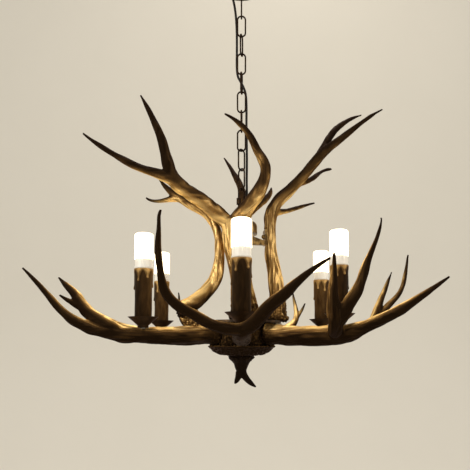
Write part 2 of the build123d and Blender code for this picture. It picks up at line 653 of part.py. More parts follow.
def candle_pieces():
    made = {}
    nipples = []
    holders = []
    sleeve_top = dish_floor + sleeve_height
    nipple = Pos(0, 0, -nipple_depth) * pipe(
        nipple_radius, nipple_radius - nipple_wall, nipple_depth + nipple_rise)
    dish, sleeve, holder = candle_dish(), candle_sleeve(), lampholder()
    base, cover = bulb_base(), bulb_cover()
    for number, (angle, lift, _) in enumerate(lower_antlers.values(), 1):
        seat = Rot(0, 0, angle) * Pos(drum_apothem + seat_out, 0, seat_height + lift)
        nipples.append(seat * nipple)
        holders.append(seat * holder)
        made[f"candle_dish_{number}"] = seat * dish
        made[f"candle_sleeve_{number}"] = seat * sleeve
        lamp = seat * Pos(0, 0, sleeve_top + lamp_gap)
        made[f"bulb_{number}_base"] = lamp * base
        made[f"bulb_{number}_cover"] = lamp * Pos(0, 0, collar_height) * cover
    made["candle_nipples"] = Compound(children=nipples)
    made["lampholders"] = Compound(children=holders)
    return made


def build():
    pieces = ceiling_pieces()
    pieces.update(chain_pieces())
    pieces["power_cord"] = cord()
    light = {}
    for group in (hub_pieces, column_pieces, lower_antler_pieces, upper_antler_pieces,
                  candle_pieces):
        light.update(group())
    for name, shape in light.items():
        pieces[name] = in_place(shape)
    return pieces


os.makedirs("parts", exist_ok=True)
print("hang drop", round(hang_drop, 2))
for name, shape in build().items():
    export_step(shape, f"parts/{name}.step")
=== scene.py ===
import math

import bpy
import numpy as np
from mathutils import Matrix, Vector, noise
from mathutils.bvhtree import BVHTree


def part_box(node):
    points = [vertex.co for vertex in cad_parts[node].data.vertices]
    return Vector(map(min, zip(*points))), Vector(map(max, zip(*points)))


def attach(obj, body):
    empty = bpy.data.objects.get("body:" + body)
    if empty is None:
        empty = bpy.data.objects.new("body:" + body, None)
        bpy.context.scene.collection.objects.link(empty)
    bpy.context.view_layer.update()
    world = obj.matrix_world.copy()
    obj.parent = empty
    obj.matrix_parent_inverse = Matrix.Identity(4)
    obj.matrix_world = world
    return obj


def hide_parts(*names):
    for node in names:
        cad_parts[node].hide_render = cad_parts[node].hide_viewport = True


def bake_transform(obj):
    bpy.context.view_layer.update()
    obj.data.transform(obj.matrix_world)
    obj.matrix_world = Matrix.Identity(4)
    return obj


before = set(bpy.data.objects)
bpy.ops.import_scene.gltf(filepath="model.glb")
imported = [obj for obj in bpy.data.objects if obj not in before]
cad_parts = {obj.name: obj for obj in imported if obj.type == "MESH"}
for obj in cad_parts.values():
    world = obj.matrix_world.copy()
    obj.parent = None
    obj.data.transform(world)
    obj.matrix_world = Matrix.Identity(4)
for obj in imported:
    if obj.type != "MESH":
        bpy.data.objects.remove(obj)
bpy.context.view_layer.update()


# ---- Studio ----
# A pale floor that sweeps up into a pale wall, soft lamps on both sides and overhead, and a
# camera as high as the undersides of the lower antlers, looking slightly up.
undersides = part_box("hub_drum")[0].z
floor_drop = 0.62
wall_behind = 1.7
sweep_width = 40.0
sweep_front = -20.0
wall_top = 12.0
sweep_radius = 0.9
paper_evened = 0.6
hub_rise = 0.12
warm_white = (1.0, 0.94, 0.85)
camera_out = 0.9072
camera_rise = 0.0054
camera_pitch = 3.76
sensor_width = 36
picture_side = 470
focal_pixels = 497.8
axis_pixel = 241.5
picture_shift = 0.16


class Socket:
    """One output of a shader node, so that the maths of a finish reads as plain sums."""

    def __init__(self, tree, output):
        self.tree = tree
        self.output = output

    def node(self, kind, settings, sockets, output=0):
        """Any shader node: its settings first, then the values or links of its sockets."""
        made = self.tree.nodes.new("ShaderNode" + kind)
        for name, value in settings.items():
            setattr(made, name, value)
        for name, value in sockets.items():
            if isinstance(value, Socket):
                self.tree.links.new(value.output, made.inputs[name])
            else:
                made.inputs[name].default_value = value
        return Socket(self.tree, made.outputs[output])

    def maths(self, operation, first, second=0.0):
        return self.node("Math", {"operation": operation}, {0: first, 1: second})

    def __add__(self, other):
        return self.maths("ADD", self, other)

    def __sub__(self, other):
        return self.maths("SUBTRACT", self, other)

    def __rsub__(self, other):
        return self.maths("SUBTRACT", other, self)

    def __mul__(self, other):
        return self.maths("MULTIPLY", self, other)

    __radd__ = __add__
    __rmul__ = __mul__

    def between(self, low, high):
        """0 at low, 1 at high, and smooth in between."""
        return self.node("MapRange", {"interpolation_type": "SMOOTHSTEP"},
                         {"Value": self, "From Min": low, "From Max": high})

    def mix(self, colour_a, colour_b):
        """From colour_a to colour_b as this value goes from 0 to 1."""
        ends = [c if isinstance(c, Socket) else (*c, 1) for c in (colour_a, colour_b)]
        return self.node("Mix", {"data_type": "RGBA"}, {0: self, 6: ends[0], 7: ends[1]}, 2)

    def noise(self, scale, detail=3.0):
        return self.node("TexNoise", {}, {"Vector": self, "Scale": scale, "Detail": detail,
                                          "Roughness": 0.55})

    def measured(self, name):
        """The number that the piece's mesh holds under this name at each vertex."""
        return self.node("Attribute", {"attribute_name": name}, {}, "Fac")


def new_finish(name, **constants):
    """A material with its constants set, its surface shader, and its Object coordinates."""
    material = bpy.data.materials.new(name)
    material.use_nodes = True
    tree = material.node_tree
    shader = tree.nodes["Principled BSDF"]
    for socket, value in constants.items():
        shader.inputs[socket.replace("_", " ")].default_value = value
    place = tree.nodes.new("ShaderNodeTexCoord")
    return material, shader, Socket(tree, place.outputs["Object"])


def feed(shader, **links):
    for socket, value in links.items():
        value.tree.links.new(value.output, shader.inputs[socket.replace("_", " ")])


def bump(height, distance):
    return height.node("Bump", {}, {"Height": height, "Distance": distance, "Strength": 1.0})


def background_rays(tree):
    """1 for the rays that see the background: the camera's, and those off metal and glass."""
    rays = tree.nodes.new("ShaderNodeLightPath").outputs
    camera_ray, glossy_ray, clear_ray = (
        Socket(tree, rays[f"Is {kind} Ray"]) for kind in ("Camera", "Glossy", "Transmission"))
    return camera_ray + glossy_ray + clear_ray


def deselect():
    bpy.ops.object.select_all(action="DESELECT")


def settle(name):
    """The active new piece gets its name, and its place goes into its mesh."""
    piece = bpy.context.active_object
    piece.name = name
    bpy.ops.object.transform_apply(location=True, rotation=True, scale=True)
    return piece


def dress(piece, material):
    piece.data.materials.clear()
    piece.data.materials.append(material)


deselect()
bpy.ops.mesh.primitive_plane_add(size=1, location=(0, 0, undersides - floor_drop))
sweep = settle("studio_sweep")
sweep.data.transform(Matrix.Diagonal((sweep_width, 1, 1, 1)))
for corner in sweep.data.vertices:
    corner.co.y = wall_behind if corner.co.y > 0 else sweep_front
bpy.ops.object.mode_set(mode="EDIT")
bpy.ops.mesh.select_all(action="DESELECT")
bpy.ops.object.mode_set(mode="OBJECT")
for edge in sweep.data.edges:
    ends = [sweep.data.vertices[v].co for v in edge.vertices]
    edge.select = all(end.y > 0 for end in ends)
bpy.ops.object.mode_set(mode="EDIT")
bpy.ops.mesh.select_mode(type="EDGE")
bpy.ops.mesh.extrude_region_move(TRANSFORM_OT_translate={"value": (0, 0, wall_top)})
bpy.ops.mesh.select_all(action="DESELECT")
bpy.ops.object.mode_set(mode="OBJECT")
for edge in sweep.data.edges:
    ends = [sweep.data.vertices[v].co for v in edge.vertices]
    edge.select = all(end.y > 0 and end.z < undersides for end in ends)
bpy.ops.object.mode_set(mode="EDIT")
bpy.ops.mesh.bevel(offset=sweep_radius, segments=24, affect="EDGES")
bpy.ops.object.mode_set(mode="OBJECT")
bpy.ops.object.shade_smooth()
paper, paper_shader, place = new_finish("studio_paper", Roughness=0.95)
feed(paper_shader, Base_Color=place.noise(3.0).between(0.3, 0.7).mix((0.79, 0.745, 0.655),
                                                                    (0.81, 0.765, 0.675)))
even_tone = place.node("Emission", {}, {"Color": (0.62, 0.57, 0.47, 1)})
lit_paper = Socket(place.tree, paper_shader.outputs[0])
seen_paper = place.node("MixShader", {}, {0: background_rays(place.tree) * paper_evened,
                                          1: lit_paper, 2: even_tone})
feed(place.tree.nodes["Material Output"], Surface=seen_paper)
dress(sweep, paper)

world = bpy.data.worlds.new("studio_air")
bpy.context.scene.world = world
world.use_nodes = True
feed(world.node_tree.nodes["Background"],
     Color=background_rays(world.node_tree).mix((0.38, 0.37, 0.35), (0.52, 0.48, 0.40)))

hub_middle = Vector((0, 0, undersides + hub_rise))
for name, stand, width, watts in (
        ("left_softbox", (-1.5, -1.3, 0.1), 1.1, 18),
        ("right_softbox", (1.7, -0.9, -0.2), 0.9, 8),
        ("overhead_softbox", (0.3, 0.3, 2.0), 2.2, 52)):
    lamp = bpy.data.lights.new(name, "AREA")
    lamp.size = width
    lamp.energy = watts
    lamp.color = warm_white
    holder = bpy.data.objects.new(name, lamp)
    bpy.context.scene.collection.objects.link(holder)
    holder.location = stand
    holder.rotation_euler = (Vector(stand) - hub_middle).to_track_quat("Z", "Y").to_euler()

lens = bpy.data.cameras.new("camera")
lens.sensor_width = sensor_width
lens.lens = sensor_width * focal_pixels / picture_side
lens.shift_x = (picture_side / 2 - axis_pixel) / picture_side
lens.shift_y = picture_shift
camera = bpy.data.objects.new("camera", lens)
bpy.context.scene.collection.objects.link(camera)
camera.location = (0, -camera_out, undersides + camera_rise)
camera.rotation_euler = (math.radians(90 + camera_pitch), 0, 0)
bpy.context.scene.camera = camera
bpy.context.scene.view_settings.view_transform = "Standard"


# ---- Supply cord ----
# A round black three-core flex, from the terminals in the canopy down beside the chain,
# through one link, and into the cap of the column, in three stretches.
cord_across = 0.0044
cut_heights = (-0.075, -0.445)
cord_points = (
    (-19, 9, -17), (-19, 9, -44),
    (-12, 6.5, -75.1), (-9, 5, -115.1), (-8.6, 5.6, -155.1), (-9.2, 5.4, -190.1),
    (-7.6, 4.4, -211.1), (-2.4, 1.4, -222.1), (3.0, 1.2, -232.1), (8.4, 4.4, -245.1),
    (9.6, 5.8, -270.1), (9.2, 5.4, -305.1), (9.8, 6.0, -340.1), (10.2, 5.8, -375.1),
    (9.6, 6.6, -410.1), (10.2, 8.6, -440.1),
    (11, 9.5, -468.1), (11, 9.5, -514.1),
)


def cord_curve(name, kind, points, across):
    """A curve of one open spline, as thick as across."""
    curve = bpy.data.curves.new(name, "CURVE")
    curve.dimensions = "3D"
    curve.resolution_u = 10
    curve.bevel_depth = across / 2
    curve.bevel_resolution = 5
    curve.use_fill_caps = True
    spline = curve.splines.new(kind)
    spline.points.add(len(points) - 1)
    for point, xyz in zip(spline.points, points):
        point.co = (*xyz, 1)
    if kind == "NURBS":
        spline.use_endpoint_u = True
        spline.order_u = 3
    return bpy.data.objects.new(name, curve)


def bring_in(piece):
    """The piece joins the scene as its active object, and is all that is selected."""
    deselect()
    bpy.context.scene.collection.objects.link(piece)
    bpy.context.view_layer.objects.active = piece
    piece.select_set(True)


in_metres = [tuple(c / 1000 for c in xyz) for xyz in cord_points]
line = bpy.data.meshes.new_from_object(cord_curve("cord_line", "NURBS", in_metres, 0))
route = [vertex.co.copy() for vertex in line.vertices]
cord_black, shader, place = new_finish("cord_black", Roughness=0.6, Specular_IOR_Level=0.2)
fine = place.noise(900.0)
feed(shader, Base_Color=fine.mix((0.009, 0.008, 0.007), (0.020, 0.017, 0.015)),
     Normal=bump(fine, 0.0001))
cuts = [0]
for height in cut_heights:
    cuts.append(min(range(len(route)), key=lambda i: abs(route[i].z - height)))
cuts.append(len(route) - 1)
stretches = (("cord_upper", "ceiling", "top_link", -0.05, -0.075),
             ("cord_middle", "top_link", "chain", -0.08, -0.11),
             ("cord_lower", "chain", "light", -0.45, -0.478))
for (name, upper_body, lower_body, high, low), first, last in zip(stretches, cuts, cuts[1:]):
    part = route[first:last + 1]
    bring_in(cord_curve(name, "POLY", part, cord_across))
    bpy.ops.object.convert(target="MESH")
    piece = bpy.context.active_object
    bpy.ops.object.shade_smooth()
    dress(piece, cord_black)
    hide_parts("power_cord")
    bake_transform(piece)


# ---- Ceiling plate and canopy ----
# A pressed steel cup in oil-rubbed bronze, held up to a zinc plated crossbar by two screws
# with cap nuts.  The chain's loop is screwed through its middle, and the cord comes out of a
# rubber grommet beside it.
weld_gap = 0.000005
flat_angle = 32
zinc_plate, shader, place = new_finish("zinc_plate", Metallic=1.0)
streak = place.noise(300.0)
feed(shader, Base_Color=streak.mix((0.42, 0.42, 0.40), (0.58, 0.57, 0.54)),
     Roughness=streak * 0.2 + 0.25)
oil_rubbed_bronze, shader, place = new_finish("oil_rubbed_bronze", Metallic=0.8)
cloud, speck = place.noise(60.0, 4.0), place.noise(800.0, 2.0)
worn = (cloud * 0.75 + speck * 0.25).between(0.46, 0.68)
feed(shader, Base_Color=worn.mix((0.034, 0.024, 0.017), (0.15, 0.088, 0.042)),
     Roughness=worn * 0.12 + 0.32, Normal=bump(speck, 0.0001))
nylon, shader, place = new_finish("terminal_nylon", Roughness=0.45)
feed(shader, Base_Color=place.noise(200.0).mix((0.74, 0.73, 0.70), (0.82, 0.81, 0.78)))
rubber, shader, place = new_finish("grommet_rubber", Roughness=0.7)
feed(shader, Base_Color=place.noise(500.0).mix((0.012, 0.012, 0.012), (0.03, 0.03, 0.03)))


def joined_copy(node, ending):
    """A copy of a CAD solid with its loose triangles joined."""
    piece = bpy.data.objects.new(node + ending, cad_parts[node].data.copy())
    bring_in(piece)
    bpy.ops.object.mode_set(mode="EDIT")
    bpy.ops.mesh.select_all(action="SELECT")
    bpy.ops.mesh.remove_doubles(threshold=weld_gap)
    bpy.ops.object.mode_set(mode="OBJECT")
    return piece


def finished(node, body, material):
    """A CAD solid with its curves shaded smooth and its flats flat."""
    piece = joined_copy(node, "_finished")
    bpy.ops.object.shade_smooth_by_angle(angle=math.radians(flat_angle))
    bpy.ops.object.modifier_add(type="WEIGHTED_NORMAL")
    piece.modifiers[-1].keep_sharp = True
    bpy.ops.object.modifier_apply(modifier=piece.modifiers[-1].name)
    dress(piece, material)
    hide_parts(node)
    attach(piece, body)


for node in ("canopy", "canopy_fasteners", "canopy_loop"):
    finished(node, "ceiling", oil_rubbed_bronze)
finished("cord_grommet", "ceiling", rubber)
dress(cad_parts["ceiling_crossbar"], zinc_plate)
dress(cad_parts["canopy_loop_nut"], zinc_plate)
dress(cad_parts["terminal_block"], nylon)


# ---- Chain ----
# Ten welded links of 3 mm steel wire in dark bronze, each turned across the one above, and a
# quick link at the foot, closed by a hexagon nut, that carries the light's own loop.
wire_radius = 0.0015
link_bend = 0.0075
link_leg = 0.0252
link_pitch = 0.037
link_turns = (90, 0, 75, 0, 80, 0, 85, -8, 42, -45)
quick_link_turn = 45
warm_gloss = {"Specular_IOR_Level": 0.05, "Specular_Tint": (0.6, 0.38, 0.18, 1)}
chain_bronze, shader, place = new_finish("chain_bronze", Metallic=0.5, **warm_gloss)
wear_and_light = place.noise(240.0).between(0.46, 0.75)
feed(shader, Base_Color=wear_and_light.mix((0.016, 0.010, 0.007), (0.085, 0.05, 0.025)),
     Roughness=wear_and_light * 0.1 + 0.38)


def wire_link(name, height, turn, body, node):
    deselect()
    bpy.ops.mesh.primitive_torus_add(major_radius=link_bend, minor_radius=wire_radius,
                                     major_segments=40, minor_segments=14,
                                     rotation=(math.radians(90), 0, 0))
    piece = settle(name)
    for vertex in piece.data.vertices:
        vertex.co.z += math.copysign(link_leg / 2, vertex.co.z)
    piece.data.transform(Matrix.Translation((0, 0, height))
                         @ Matrix.Rotation(math.radians(turn), 4, "Z"))
    bpy.ops.object.shade_smooth()
    dress(piece, chain_bronze)
    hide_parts(node)
    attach(piece, body)


def middle_of(node):
    low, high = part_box(node)
    return (low + high) / 2


top_height = middle_of("top_link").z
for number, turn in enumerate(link_turns):
    body, node = ("chain", "chain_links") if number else ("top_link", "top_link")
    wire_link(f"link_{number + 1}", top_height - number * link_pitch, turn, body, node)
wire_link("quick_link_wire", middle_of("quick_link").z, quick_link_turn, "chain", "quick_link")
finished("quick_link_nut", "chain", chain_bronze)


# ---- Column and crown ----
# A steel tube through the hub, with a domed cap and a ring at its top.  Under the cap three
# webbed arms reach out to the upper antlers, each held by a domed screw.  Cap, arms and screws
# are gilded.
gilded_bronze, shader, place = new_finish("gilded_bronze", Metallic=0.75)
worn = place.noise(90.0, 4.0).between(0.4, 0.66)
feed(shader, Base_Color=worn.mix((0.13, 0.075, 0.028), (0.50, 0.32, 0.12)),
     Roughness=worn * 0.1 + 0.3)
for node in ("column_cap", "crown_bracket", "crown_screws"):
    finished(node, "light", gilded_bronze)
for node in ("column_tube", "column_loop"):
    finished(node, "light", oil_rubbed_bronze)
dress(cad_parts["column_lock_nut"], zinc_plate)


# ---- Antler casting ----
# Resin castings taken from real antlers: grooved along their length and beaded at the burr,
# stained near black, and rubbed back to tan and gold where they stand proud.  Where they face
# a candle, and a little on top, the tan and gold are painted candlelight, and the near black
# away from the candles is partly painted shade.
grain_size = 0.0012
skin_depth = 0.0003                      # a ray that measures the horn starts this far inside
widest = 0.036                           # and ends here at the latest
thin_radius, thin_fade = 0.002, 0.006    # thinner tines keep their shape
groove_depth = 0.045                     # as a share of the radius
fine_groove, broad_groove = 0.5, 0.8
groove_limit = 2.2
lump_scale = 36
lump_height = 0.0010                     # on a horn of stout_radius or more
stout_radius = 0.012
bead_scale = 250
bead_reach = 0.55                        # of its cell, that a bead fills
bead_height, bead_sink = 0.0025, 0.0004
collar_place, collar_half = 0.006, 0.005
collar_height, collar_bead = 0.0022, 0.0014
rise_limit = 0.0048
plain_radius, plain_fade = 0.001, 0.003  # thinner tips stay plain
glow_reach, glow_limit = 0.13, 0.6
candle_flames = [middle_of(f"bulb_{number}_cover") for number in range(1, 7)]
antler_resin, shader, place = new_finish("antler_resin", **warm_gloss)
patch, fibre = place.noise(30.0), place.noise(500.0)
# The tone runs from near black through tan to gold: rubbed ridges, beads and random patches, and
# painted candlelight on the faces turned to the candles, with painted shade away from them.
wear_and_light = place.measured("rubbed_and_candlelit") + patch * 0.16 + fibre * 0.14 - 0.15
stain_and_shade = wear_and_light.between(-0.45, 0.2).mix((0.014, 0.0075, 0.0035), (0.058, 0.031, 0.012))
tan_and_candlelight = wear_and_light.between(0.1, 0.6).mix(stain_and_shade, (0.26, 0.145, 0.048))
gold_and_candlelight = wear_and_light.between(0.5, 1.0).mix(tan_and_candlelight, (0.96, 0.66, 0.27))
# Thin tines and tips go near black: painted shade.
stout = place.measured("girth").between(0.0018, 0.006)
feed(shader, Base_Color=stout.mix((0.016, 0.009, 0.005), gold_and_candlelight),
     Roughness=0.56 - wear_and_light.between(-0.2, 0.8) * 0.26 + fibre * 0.06,
     Metallic=wear_and_light.between(-0.1, 0.8) * 0.5 + 0.3,
     Normal=bump(place.measured("groove") * 0.5 + fibre * 0.5, 0.0006))


def write_measure(mesh, name, values):
    """One number for each vertex, which a finish reads back with measured(name)."""
    mesh.attributes.new(name, "FLOAT", "POINT").data.foreach_set("value", values)


def bead_cell(point):
    """How far a point is from the middle of the bead that it lies on."""
    return noise.voronoi(Vector(point) * bead_scale)[0][0]


def spread(values, start, end, weights, keep, rounds):
    """Each value drawn towards the weighted mean of its neighbours, several times over."""
    total = np.bincount(start, weights, len(values)) + 1e-12
    shape = values.shape
    values = values.reshape(len(values), -1)
    for _ in range(rounds):
        mean = np.stack([np.bincount(start, weights * column[end], len(column)) / total
                         for column in values.T], 1)
        values = values * keep + mean * (1 - keep)
    return values.reshape(shape)


def cast(node, body, material, root, growth, burr, seed, voxel=grain_size, splints=()):
    """A resin casting over a CAD solid: crotches filled, grooves drawn, and the root beaded.
    root and growth are where the burr is and which way the horn grows, burr its height.
    splints are cones, two ends and two radii each, through a tip that is too thin to cast."""
    skin = joined_copy(node, "_casting")
    bpy.ops.object.mode_set(mode="EDIT")
    for foot, head, foot_radius, head_radius in splints:
        foot, head = Vector(foot), Vector(head)
        bpy.ops.mesh.primitive_cone_add(vertices=24, radius1=foot_radius, radius2=head_radius,
                                        depth=(head - foot).length, location=(foot + head) / 2,
                                        rotation=(head - foot).to_track_quat("Z", "Y").to_euler())
    bpy.ops.object.mode_set(mode="OBJECT")
    bpy.ops.object.modifier_add(type="REMESH")
    skin.modifiers[-1].mode = "VOXEL"
    skin.modifiers[-1].voxel_size = voxel
    bpy.ops.object.modifier_apply(modifier=skin.modifiers[-1].name)
    mesh = skin.data
    count = len(mesh.vertices)
    points = np.empty(count * 3)
    mesh.vertices.foreach_get("co", points)
    points = points.reshape(-1, 3)
    edges = np.empty(len(mesh.edges) * 2, int)
    mesh.edges.foreach_get("vertices", edges)
    a, b = edges.reshape(-1, 2).T
    start, end = np.concatenate([a, b]), np.concatenate([b, a])
    even = np.ones(len(start))

    def outward():
        mesh.vertices.foreach_set("co", points.ravel())
        mesh.update()
        found = np.empty(count * 3)
        mesh.vertices.foreach_get("normal", found)
        return found.reshape(-1, 3)

    # Half the way through the horn is its radius.
    out = outward()
    tree = BVHTree.FromPolygons([Vector(p) for p in points],
                                [tuple(face.vertices) for face in mesh.polygons])
    radius = np.empty(count)
    for i in range(count):
        inward = -Vector(out[i])
        hit = tree.ray_cast(Vector(points[i]) + inward * skin_depth, inward, widest)
        radius[i] = (hit[3] or widest) / 2
    radius = spread(radius, start, end, even, keep=0.3, rounds=8)

    # The crotches flow together, and the thin tips keep their length.
    soft = np.clip((radius - thin_radius) / thin_fade, 0, 1)[:, None]
    flowed = spread(points, start, end, even, keep=0.4, rounds=18)
    points = points * (1 - soft) + flowed * soft
    out = outward()

    # The horn's own direction is the one in which its faces turn least.
    pairs = np.stack([out[:, i] * out[:, j] for i, j in
                      ((0, 0), (0, 1), (0, 2), (1, 1), (1, 2), (2, 2))], 1)
    pairs = spread(pairs, start, end, even, keep=0.3, rounds=35)
    tensors = pairs[:, [0, 1, 2, 1, 3, 4, 2, 4, 5]].reshape(-1, 3, 3)
    along = np.linalg.eigh(tensors)[1][:, :, 0]
    span = points[end] - points[start]
    span /= np.linalg.norm(span, axis=1)[:, None] + 1e-12

    # Grooves are random heights that are blurred along the horn, and hardly across it.
    pull = np.abs((span * along[start]).sum(1)) ** 6 + 0.003
    chance = np.random.default_rng(seed)

    def streaks(blur, length):
        drawn = spread(chance.standard_normal(count), start, end, even, keep=0.3, rounds=blur)
        drawn = spread(drawn, start, end, pull, keep=0.3, rounds=length)
        drawn -= drawn.mean()
        return np.clip(drawn / drawn.std(), -groove_limit, groove_limit)

    fine, broad = streaks(blur=1, length=90), streaks(blur=8, length=130)

    # Beads cover the burr and thin out up the horn, and a collar of them stands round it.
    reach = (points - np.array(root)) @ np.array(growth)
    near = np.clip(1 - reach / burr, 0, 1) ** 0.7
    lumps = np.array([noise.noise(Vector(p) * lump_scale) for p in points])
    cells = np.array([bead_cell(p) for p in points])
    beads = np.clip(1 - (cells / bead_reach) ** 2, 0, 1)
    collar = np.exp(-((reach - collar_place) / collar_half) ** 2)
    rise = ((fine * fine_groove + broad * broad_groove) * groove_depth * radius
            * (1 - 0.7 * near))
    rise += lumps * lump_height * np.clip(radius / stout_radius, 0, 1)
    rise += ((beads * bead_height - bead_sink) * near
             + collar * (collar_height + beads * collar_bead))
    rise = np.minimum(rise, rise_limit) * np.clip((radius - plain_radius) / plain_fade, 0, 1)
    flat_out = out
    points = points + out * rise[:, None]
    out = outward()

    # The stain is rubbed back on ridges and beads.  The lightening on top, and where a flame is
    # near and faced, is painted candlelight.
    candle_light = np.zeros(count)
    for flame in candle_flames:
        to_flame = np.array(flame) - points
        away = np.linalg.norm(to_flame, axis=1)
        turned_to = np.clip((to_flame * flat_out).sum(1) / away, 0, 1)
        candle_light = candle_light + turned_to * np.exp(-away / glow_reach)
    rubbed_and_candlelit = (0.12 * fine + 0.06 * broad + 2.6 * np.minimum(candle_light, glow_limit) + 0.05 * out[:, 2]
              - 0.52)
    rubbed_and_candlelit += 0.5 * near * (beads - 0.45) + 0.15 * lumps
    for measure, values in (("rubbed_and_candlelit", rubbed_and_candlelit), ("groove", fine * 0.6 + broad * 0.4),
                            ("girth", radius)):
        write_measure(mesh, measure, values.astype(np.float32))
    bpy.ops.object.shade_smooth()
    dress(skin, material)
    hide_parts(node)
    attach(skin, body)


# ---- Hub ----
# A six-sided steel drum that the lower antlers are bolted to, with a round plate on top for
# the upper ones and a beaded resin bowl below.
up, down = (0, 0, 1), (0, 0, -1)
beaded_rim = 0.008
hub_resin, shader, place = new_finish("hub_resin", Roughness=0.42, Metallic=0.4, **warm_gloss)
mottle = place.noise(150.0)
# The raised tone is the casting's rubbed beads and lumps, with painted candlelight where it faces
# a candle.
raised_and_lit = (place.measured("rubbed_and_candlelit") + mottle - 0.5).between(-0.2, 0.8)
feed(shader, Base_Color=raised_and_lit.mix((0.014, 0.008, 0.004), (0.17, 0.095, 0.036)),
     Normal=bump(mottle, 0.0004))
bowl_low, bowl_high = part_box("hub_bowl")
cast("hub_bowl", "light", hub_resin, root=(0, 0, bowl_high.z - beaded_rim),
     growth=down, burr=0.006, seed=31)
cast("hub_drum", "light", hub_resin, root=(0, 0, bowl_high.z), growth=up,
     burr=0.09, seed=32)
finished("hub_top_plate", "light", oil_rubbed_bronze)
dress(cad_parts["hub_bolts"], zinc_plate)


# ---- Lower antlers ----
# Six castings bolted to the drum's faces, their beams level under the candles and their tines
# turned up beyond them.
lower_turns = {"front": -90, "front_right": -30, "back_right": 30, "back": 90, "back_left": 150,
               "front_left": -150}
drum_face = 0.050
root_height = 0.021
for seed, (side, turn) in enumerate(lower_turns.items()):
    growth = Vector((math.cos(math.radians(turn)), math.sin(math.radians(turn)), 0))
    root = growth * drum_face + Vector((0, 0, undersides + root_height))
    cast("lower_antler_" + side, "light", antler_resin, root, growth, burr=0.020,
         seed=seed)


# ---- Upper antlers ----
# Three castings stand on the hub plate and lean out over the candles.  A fourth branches from
# the front left antler on a short post, which a beaded burr hides.
plate_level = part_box("hub_top_plate")[1].z
upper_roots = {"left": (-0.002, -0.033), "right": (0.066, 0.004), "back": (0.020, 0.033)}
# The right one's longest tine has a thin neck just short of its end, which a cone bridges.
tip_splints = {"right": [((0.2480, -0.0010, -0.2869), (0.2643, -0.0011, -0.2780),
                          0.0024, 0.0014)]}
post_radius = 0.008
stud = 0.012
branch_reach = Vector((-0.026, -0.010, 0.026))
branch_growth = Vector((0.85, 0.3, 0.43)).normalized()
burr_radius = 0.0135
burr_overlap = 0.008
burr_bead = 0.003
for seed, (side, (x, y)) in enumerate(upper_roots.items(), 10):
    cast("upper_antler_" + side, "light", antler_resin, (x, y, plate_level), up,
         burr=0.058, seed=seed, splints=tip_splints.get(side, ()))
post_low, post_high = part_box("branch_standoff")
post_foot = Vector((post_low.x + post_radius, post_low.y + post_radius, post_low.z + stud))
cast("upper_antler_branch", "light", antler_resin, post_foot + branch_reach,
     branch_growth, burr=0.030, seed=14)
burr_height = post_high.z - post_low.z - 2 * stud + 2 * burr_overlap
burr_middle = post_foot + Vector((0, 0, burr_height / 2 - burr_overlap))
deselect()
bpy.ops.mesh.primitive_ico_sphere_add(subdivisions=6, radius=1, location=burr_middle,
                                      scale=(burr_radius, burr_radius, burr_height / 2))
burr = settle("branch_burr")
for vertex in burr.data.vertices:
    bead = max(0.0, 1 - (bead_cell(vertex.co) / bead_reach) ** 2)
    vertex.co += vertex.normal * (bead * burr_bead)
write_measure(burr.data, "rubbed_and_candlelit", [1.05 - 1.2 * bead_cell(v.co) for v in burr.data.vertices])
write_measure(burr.data, "girth", [burr_radius] * len(burr.data.vertices))
write_measure(burr.data, "groove", [0.0] * len(burr.data.vertices))
bpy.ops.object.shade_smooth()
dress(burr, antler_resin)
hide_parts("branch_standoff")
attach(burr, "light")


# ---- Candles ----
# On each lower antler a flared steel dish is held down by a hollow screw, which also carries a
# lampholder.  A moulded plastic sleeve stands in the dish, with wax run down from its rim.
sleeve_radius = 0.014
sleeve_wall = 0.0016
sleeve_sides = 144
sleeve_rings = 96
soft_angle = 55
wax_count = 6
wax_thickness = 0.0013
run_stray = 0.2
run_halves = (0.0014, 0.0022)
run_lengths = (0.014, 0.022)
long_run = 1.8
bead_length = 0.004
apron_depth, apron_sag, sag_reach = 0.0030, 0.0130, 0.0042
apron_layers = ((1, 0.0016, 0.0009), (0.55, 0.0014, 0.0006))  # share of depth, edge, thickness
wave_scale, wave_height = 60, 0.00025
candlelight_drop, rim_drop = 0.05, 0.03         # below the rim, over which the painted candlelight fades
sleeve_glow_reach = 0.15
dish_bronze, shader, place = new_finish("dish_bronze", Metallic=0.3, **warm_gloss)
worn = place.noise(40.0, 4.0).between(0.4, 0.8)
feed(shader, Base_Color=worn.mix((0.018, 0.011, 0.007), (0.055, 0.031, 0.014)),
     Roughness=0.45 - worn * 0.1)
bakelite, shader, place = new_finish("holder_bakelite", Roughness=0.4)
feed(shader, Base_Color=place.noise(400.0).mix((0.014, 0.013, 0.012), (0.03, 0.028, 0.026)))
dress(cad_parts["lampholders"], bakelite)
dress(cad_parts["candle_nipples"], zinc_plate)
sleeve_bronze, shader, place = new_finish("sleeve_bronze", **warm_gloss)
stretched = place.node("Mapping", {}, {"Vector": place, "Scale": (1, 1, 0.25)})
grime = stretched.noise(160.0) - 0.5
# The tone is painted candlelight with grime: gold where the candles light the sleeve, and near
# black away from them as painted shade.
wear_and_light = place.measured("wax_and_candlelight") + grime * 0.5
stain_and_shade = wear_and_light.between(-0.2, 0.3).mix((0.014, 0.008, 0.004), (0.065, 0.034, 0.013))
gold_and_candlelight = wear_and_light.between(0.4, 0.95).mix((0.16, 0.09, 0.032), (0.55, 0.345, 0.13))
feed(shader, Base_Color=wear_and_light.between(0.1, 0.5).mix(stain_and_shade, gold_and_candlelight),
     Roughness=0.45 + grime * 0.2, Metallic=wear_and_light.between(0.0, 0.9) * 0.6,
     Normal=bump(stretched.noise(700.0), 0.00015))


